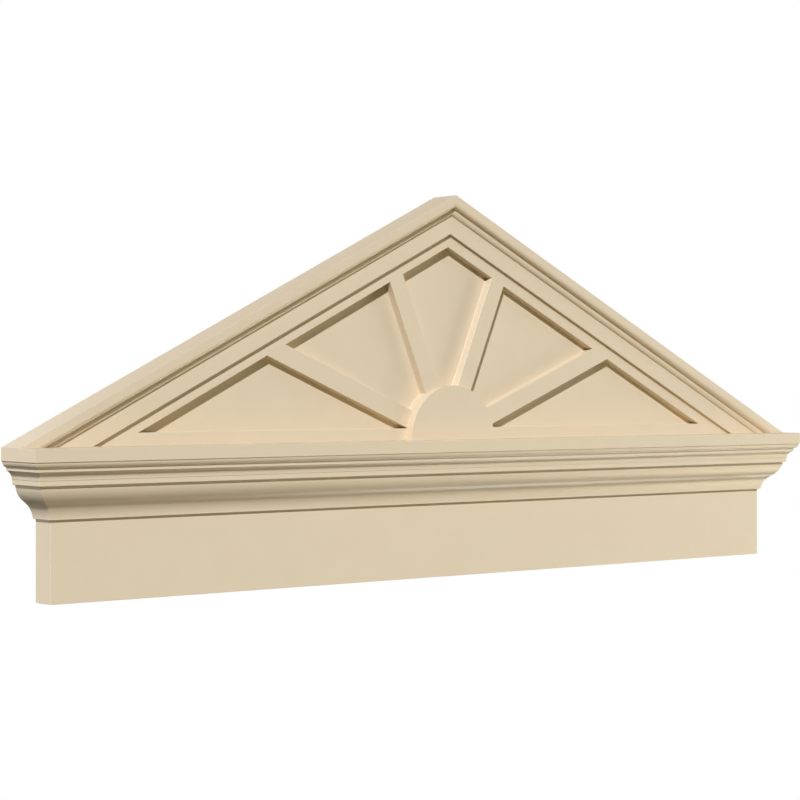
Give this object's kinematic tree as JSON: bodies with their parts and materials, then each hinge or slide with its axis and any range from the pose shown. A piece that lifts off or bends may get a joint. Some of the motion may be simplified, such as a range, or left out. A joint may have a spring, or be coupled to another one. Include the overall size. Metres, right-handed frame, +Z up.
{
  "type": "classical pediment",
  "caption": "Flat-backed peaked pediment for over a door or window: plain frieze board, moulded crown with returns, raking cornice and a sunburst of raised bars around a half-round boss.",
  "frame": {"origin": "on the flat back, on the centre line, level with the top of the crown, where the sunburst's bars meet", "axes": "+Y out of the back into the wall, +Z up, +X to the right as seen from the front; the face looks along -Y"},
  "size_m": [1.147, 0.0705, 0.4478],
  "materials": {
    "tan_primer": "factory-primed tan, low sheen"
  },
  "bodies": {
    "root": {"Sunburst_Pediment": "tan_primer"}
  },
  "joints": []
}
